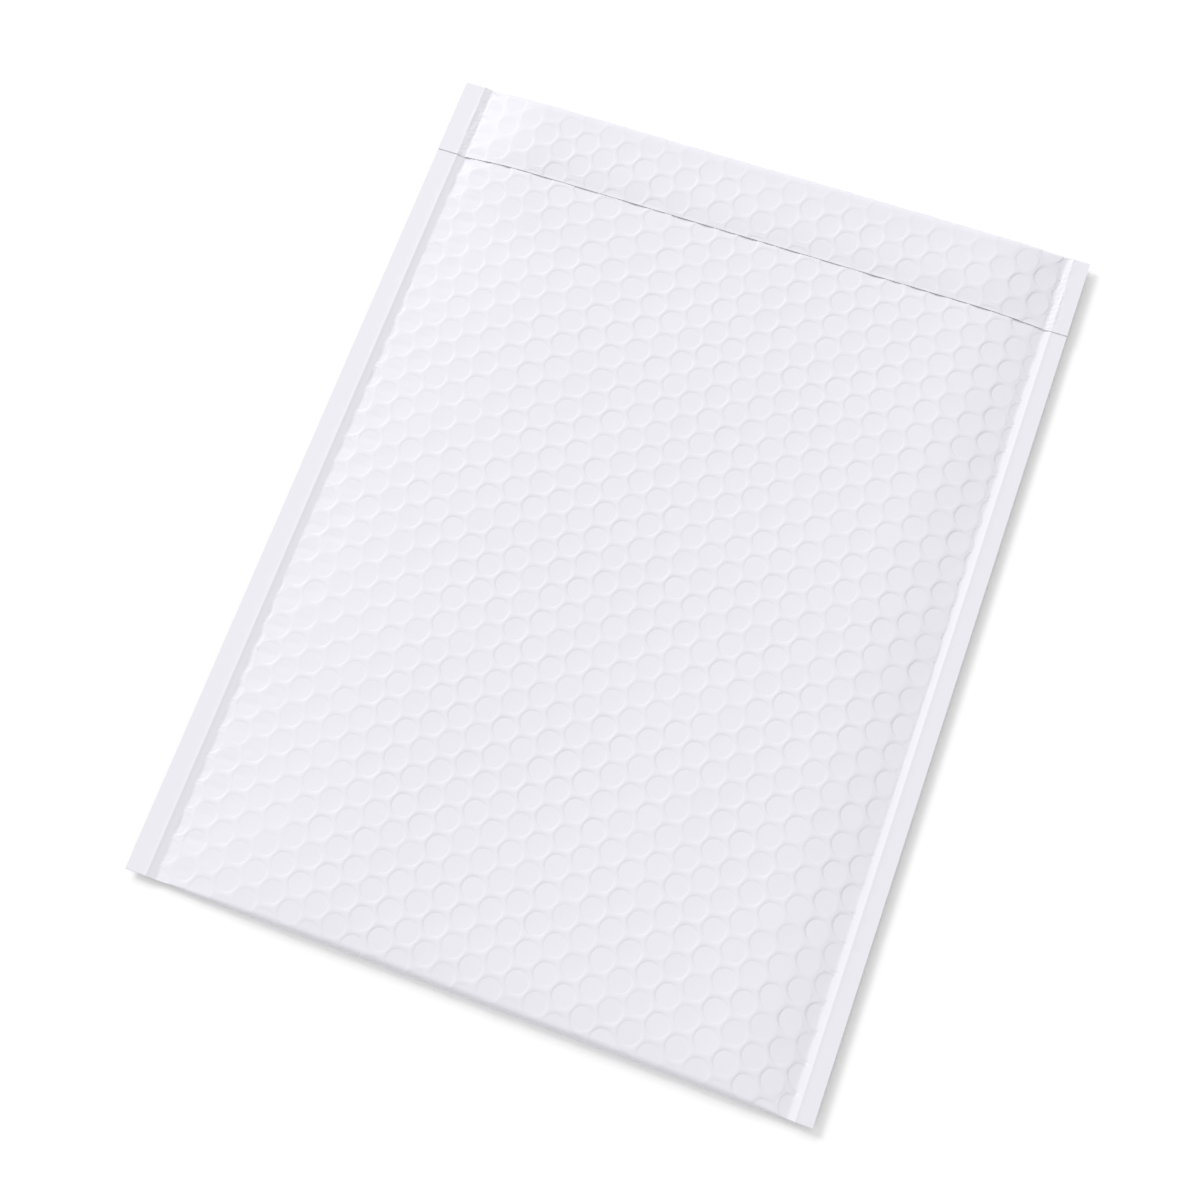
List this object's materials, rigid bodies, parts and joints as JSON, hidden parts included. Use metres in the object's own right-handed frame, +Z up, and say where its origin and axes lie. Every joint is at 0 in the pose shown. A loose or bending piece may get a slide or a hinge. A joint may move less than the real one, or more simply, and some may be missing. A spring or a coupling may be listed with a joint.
{
  "type": "padded envelope",
  "caption": "Flat white padded mailing envelope of bubble film: a side-sealed pocket with a rounded bottom fold and a self-seal flap folded down over its mouth.",
  "frame": {"origin": "middle of the surface that the back panel lies on, at the centre of the envelope's outline", "axes": "+X across the envelope between the side seals, +Y along it from the bottom fold to the fold of the flap, +Z up out of the front panel"},
  "size_m": [0.275, 0.36, 0.0088],
  "materials": {
    "envelope_film": "satin white polyethylene film over bubble film, smooth where it is heat-sealed",
    "adhesive": "clear amber hot-melt adhesive, glossy",
    "release_film": "thin siliconised release film, smooth and glossy"
  },
  "bodies": {
    "root": {"padded_envelope": "envelope_film", "adhesive_strip": "adhesive", "release_liner": "release_film"}
  },
  "joints": []
}
